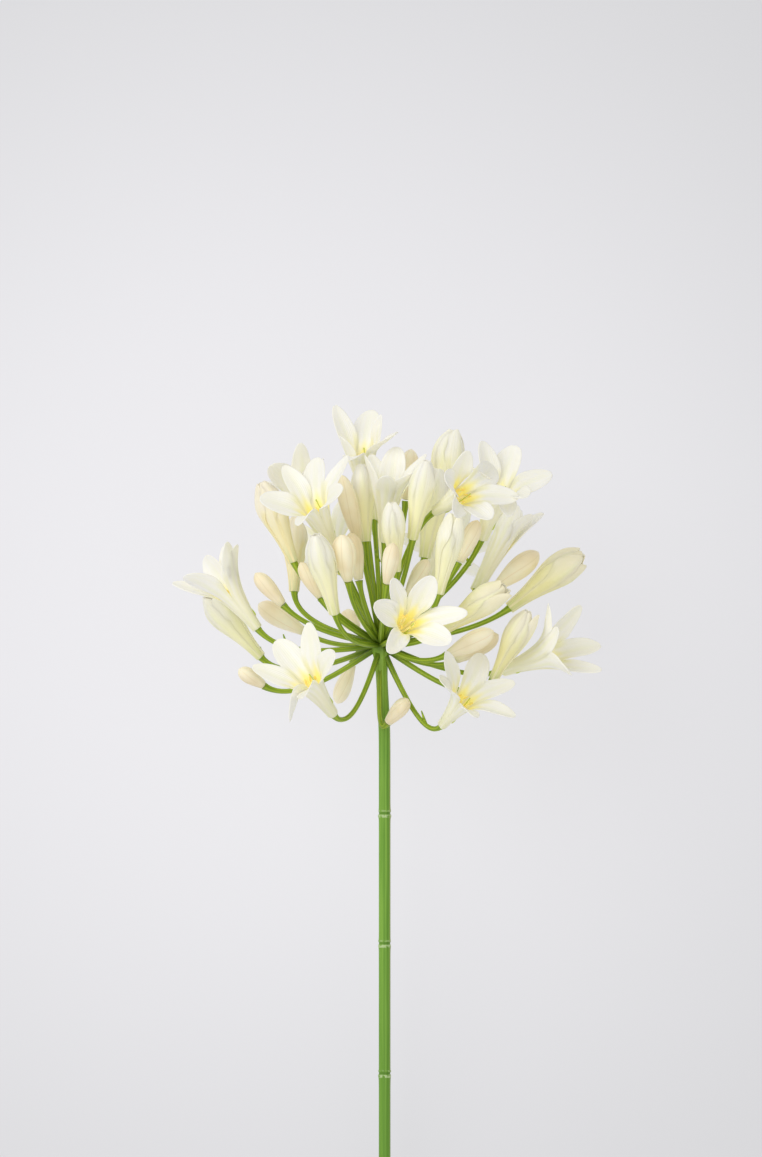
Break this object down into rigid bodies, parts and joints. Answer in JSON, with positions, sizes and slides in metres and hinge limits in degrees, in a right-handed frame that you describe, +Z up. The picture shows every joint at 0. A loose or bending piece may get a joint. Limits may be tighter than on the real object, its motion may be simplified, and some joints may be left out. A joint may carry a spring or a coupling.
{
  "type": "cut agapanthus flower stem",
  "caption": "Cut agapanthus stem lying on its back: a ball of white trumpet florets, some open with yellow stamens, some half open or in bud, on green stalks at the end of a long stem.",
  "frame": {"origin": "on the surface it lies on, under the middle of its bounding box", "axes": "+Z up, the stem along Y with its umbel towards +Y and its cut end towards -Y, the umbel's front facing up"},
  "size_m": [0.1722, 0.3934, 0.132],
  "materials": {
    "green_stem": "satin, faintly ribbed plant stem",
    "white_tepal": "soft satin petal, yellow-green towards the foot of the tube",
    "bud_skin": "soft satin closed bud, warm cream",
    "yellow_stamen": "matt, pollen yellow"
  },
  "bodies": {
    "root": {"scape": "green_stem", "bloom_left": "white_tepal", "stamens_left": "yellow_stamen", "half_left_low": "white_tepal", "bud_left": "bud_skin", "bud_left_back": "bud_skin", "bud_left_low": "bud_skin", "bloom_low_left": "white_tepal", "stamens_low_left": "yellow_stamen", "bud_low_back": "bud_skin", "bud_stem": "bud_skin", "bloom_low_right": "white_tepal", "stamens_low_right": "yellow_stamen", "bloom_front": "white_tepal", "stamens_front": "yellow_stamen", "bud_front": "bud_skin", "half_centre": "white_tepal", "bud_centre_left": "bud_skin", "bud_centre": "bud_skin", "half_left": "white_tepal", "bud_inner_left": "bud_skin", "half_upper_left": "white_tepal", "half_behind_left": "white_tepal", "bloom_upper_left": "white_tepal", "stamens_upper_left": "yellow_stamen", "bloom_behind_left": "white_tepal", "stamens_behind_left": "yellow_stamen", "bloom_crown": "white_tepal", "stamens_crown": "yellow_stamen", "half_crown": "white_tepal", "bud_long": "bud_skin", "half_back_crown": "white_tepal", "bloom_centre": "white_tepal", "stamens_centre": "yellow_stamen", "bud_crown": "bud_skin", "half_right_crown": "white_tepal", "half_inner_right": "white_tepal", "half_top_right": "white_tepal", "bloom_right_crown": "white_tepal", "stamens_right_crown": "yellow_stamen", "bloom_upper_right": "white_tepal", "stamens_upper_right": "yellow_stamen", "half_behind_right": "white_tepal", "half_right": "white_tepal", "bud_inner_right": "bud_skin", "bud_right": "bud_skin", "half_low_right": "white_tepal", "half_far_right": "white_tepal", "bloom_right": "white_tepal", "stamens_right": "yellow_stamen", "half_low": "white_tepal", "bud_low_right": "bud_skin", "bud_low_right_back": "bud_skin", "bloom_back_left": "white_tepal", "stamens_back_left": "yellow_stamen", "bloom_back_right": "white_tepal", "stamens_back_right": "yellow_stamen", "half_back": "white_tepal", "bud_back": "bud_skin", "bud_inner": "bud_skin"}
  },
  "joints": []
}
